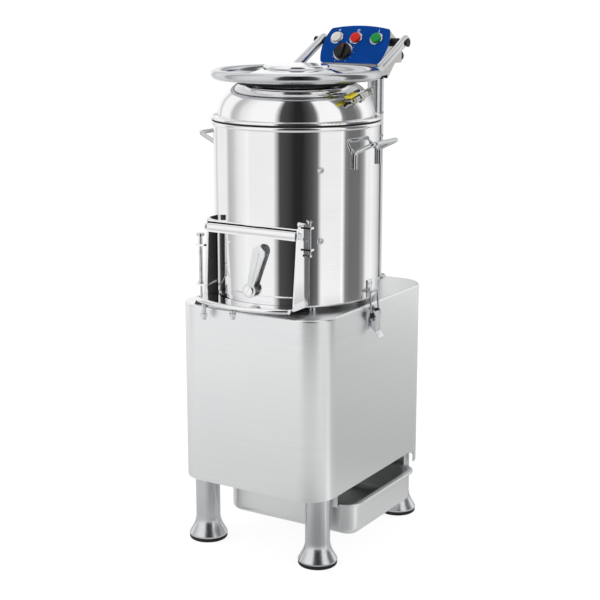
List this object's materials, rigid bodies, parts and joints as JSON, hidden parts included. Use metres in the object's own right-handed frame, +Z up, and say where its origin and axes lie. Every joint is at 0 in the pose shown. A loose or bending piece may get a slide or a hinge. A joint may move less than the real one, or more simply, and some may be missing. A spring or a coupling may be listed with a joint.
{
  "type": "electric potato peeler",
  "caption": "Floor standing machine with a drum on a rounded cabinet, a hinged lid, a discharge door, a control head on posts and a pan below that catches peelings.",
  "frame": {"origin": "on the floor under the middle of the overall box", "axes": "+Z up along the machine's height, the chute faces -Y, the pan slides out towards +X"},
  "size_m": [0.419, 0.5824, 1.0576],
  "materials": {
    "satin_stainless": "satin brushed stainless sheet",
    "leg_stainless": "lengthwise brushed stainless tube",
    "polished_stainless": "mirror polished stainless",
    "bright_fastener": "bright zinc and stainless fastener",
    "black_rubber": "matt black rubber",
    "white_rubber": "food grade rubber",
    "abrasive": "coarse dark grit in resin",
    "cast_aluminium": "cast and turned",
    "machined_steel": "turned steel",
    "motor_paint": "semi gloss paint",
    "blue_panel": "semi gloss blue film on sheet",
    "dark_steel": "black painted steel",
    "black_plastic": "black moulded plastic",
    "red_plastic": "glossy red",
    "green_plastic": "glossy green",
    "white_plastic": "translucent white lens",
    "yellow_sleeve": "yellow dipped steel"
  },
  "bodies": {
    "base": {"cabinet_shell": "satin_stainless", "cabinet_base_plate": "satin_stainless", "cabinet_rear_cover": "satin_stainless", "pan_runners": "satin_stainless", "drum_shell": "polished_stainless", "drum_floor": "polished_stainless", "drum_feet": "bright_fastener", "abrasive_liner": "abrasive", "rim_seal": "black_rubber", "dome_cover": "polished_stainless", "loading_gasket": "black_rubber", "lid_pivot_pins": "bright_fastener", "chute_frame": "polished_stainless", "door_hinge_rod": "bright_fastener", "chute_pins": "bright_fastener", "pin_socket": "dark_steel", "side_handle_right": "polished_stainless", "side_handle_left": "polished_stainless", "control_posts": "leg_stainless", "control_bracket": "satin_stainless", "control_housing": "satin_stainless", "control_panel_plate": "blue_panel", "control_bezels": "bright_fastener", "cable_gland": "black_plastic", "inlet_valve_body": "bright_fastener", "bearing_housing": "cast_aluminium", "motor": "motor_paint", "drive_belt": "black_rubber", "motor_mount": "dark_steel", "drain_duct": "satin_stainless", "pilot_lamp": "white_plastic", "leg_front_left": "leg_stainless", "leg_front_right": "leg_stainless", "leg_rear_left": "leg_stainless", "leg_rear_right": "leg_stainless", "leg_pads": "black_rubber", "latch_base_right": "bright_fastener", "latch_base_left": "bright_fastener", "latch_keeper_right": "bright_fastener", "latch_keeper_left": "bright_fastener"},
    "lid": {"lid_frame": "polished_stainless", "lid_plate": "polished_stainless", "lid_gasket": "white_rubber"},
    "door": {"discharge_door": "polished_stainless"},
    "door_handle": {"door_lever": "polished_stainless"},
    "pan": {"drain_pan": "satin_stainless"},
    "latch_right": {"latch_lever_right": "bright_fastener"},
    "bail_right": {"latch_bail_right": "bright_fastener"},
    "latch_left": {"latch_lever_left": "bright_fastener"},
    "bail_left": {"latch_bail_left": "bright_fastener"},
    "timer": {"timer_knob": "black_plastic"},
    "red": {"red_button": "red_plastic"},
    "green": {"green_button": "green_plastic"},
    "valve_handle": {"valve_lever": "yellow_sleeve"},
    "lock": {"locking_pin": "bright_fastener"},
    "disc": {"drive_shaft": "machined_steel", "peeling_disc": "cast_aluminium", "disc_abrasive": "abrasive", "shaft_pulley": "cast_aluminium"},
    "rotor": {"motor_pulley": "machined_steel"}
  },
  "joints": [
    {"name": "lid_hinge", "type": "hinge", "parent": "base", "child": "lid", "pos_m": [0, 0.20722, 1.02421], "axis": [1, 0, 0], "range_deg": [-105, 0]},
    {"name": "door_hinge", "type": "hinge", "parent": "base", "child": "door", "pos_m": [0, -0.22078, 0.675], "axis": [1, 0, 0], "range_deg": [-80, 0]},
    {"name": "door_handle_turn", "type": "hinge", "parent": "door", "child": "door_handle", "pos_m": [0.005, -0.22878, 0.56], "axis": [0, -1, 0], "range_deg": [-74, 0]},
    {"name": "pan_slide", "type": "slide", "parent": "base", "child": "pan", "axis": [1, 0, 0], "range_m": [-0.03, 0.22]},
    {"name": "latch_right_hinge", "type": "hinge", "parent": "base", "child": "latch_right", "pos_m": [0.183, -0.05078, 0.5], "axis": [0, -1, 0], "range_deg": [0, 130]},
    {"name": "bail_right_hinge", "type": "hinge", "parent": "latch_right", "child": "bail_right", "pos_m": [0.183, -0.05078, 0.485], "axis": [0, -1, 0], "range_deg": [-130, 0]},
    {"name": "latch_left_hinge", "type": "hinge", "parent": "base", "child": "latch_left", "pos_m": [-0.183, -0.05078, 0.5], "axis": [0, 1, 0], "range_deg": [0, 130]},
    {"name": "bail_left_hinge", "type": "hinge", "parent": "latch_left", "child": "bail_left", "pos_m": [-0.183, -0.05078, 0.485], "axis": [0, 1, 0], "range_deg": [-130, 0]},
    {"name": "timer_turn", "type": "hinge", "parent": "base", "child": "timer", "pos_m": [-0.023, 0.1692, 1.00276], "axis": [0, -0.8059, 0.592], "range_deg": [-300, 0]},
    {"name": "red_press", "type": "slide", "parent": "base", "child": "red", "axis": [0, 0.8059, -0.592], "range_m": [0, 0.003], "stiffness_N_per_m": 400},
    {"name": "green_press", "type": "slide", "parent": "base", "child": "green", "axis": [0, 0.8059, -0.592], "range_m": [0, 0.003], "stiffness_N_per_m": 400},
    {"name": "valve_turn", "type": "hinge", "parent": "base", "child": "valve_handle", "pos_m": [0.15712, -0.07716, 0.932], "axis": [-0.0014, -0.226, 0.9741], "range_deg": [0, 90]},
    {"name": "lock_lift", "type": "slide", "parent": "base", "child": "lock", "axis": [0, 0, 1], "range_m": [0, 0.04]},
    {"name": "disc_spin", "type": "hinge", "parent": "base", "child": "disc", "pos_m": [0, -0.05778, 0.547], "axis": [0, 0, 1], "continuous": true},
    {"name": "rotor_spin", "type": "hinge", "parent": "base", "child": "rotor", "pos_m": [0, 0.08222, 0.425], "axis": [0, 0, 1], "continuous": true}
  ],
  "couplings": [
    {"joint": "bail_right_hinge", "follows": "latch_right_hinge", "ratio": -1},
    {"joint": "bail_left_hinge", "follows": "latch_left_hinge", "ratio": -1},
    {"joint": "rotor_spin", "follows": "disc_spin", "ratio": 2.1475}
  ]
}
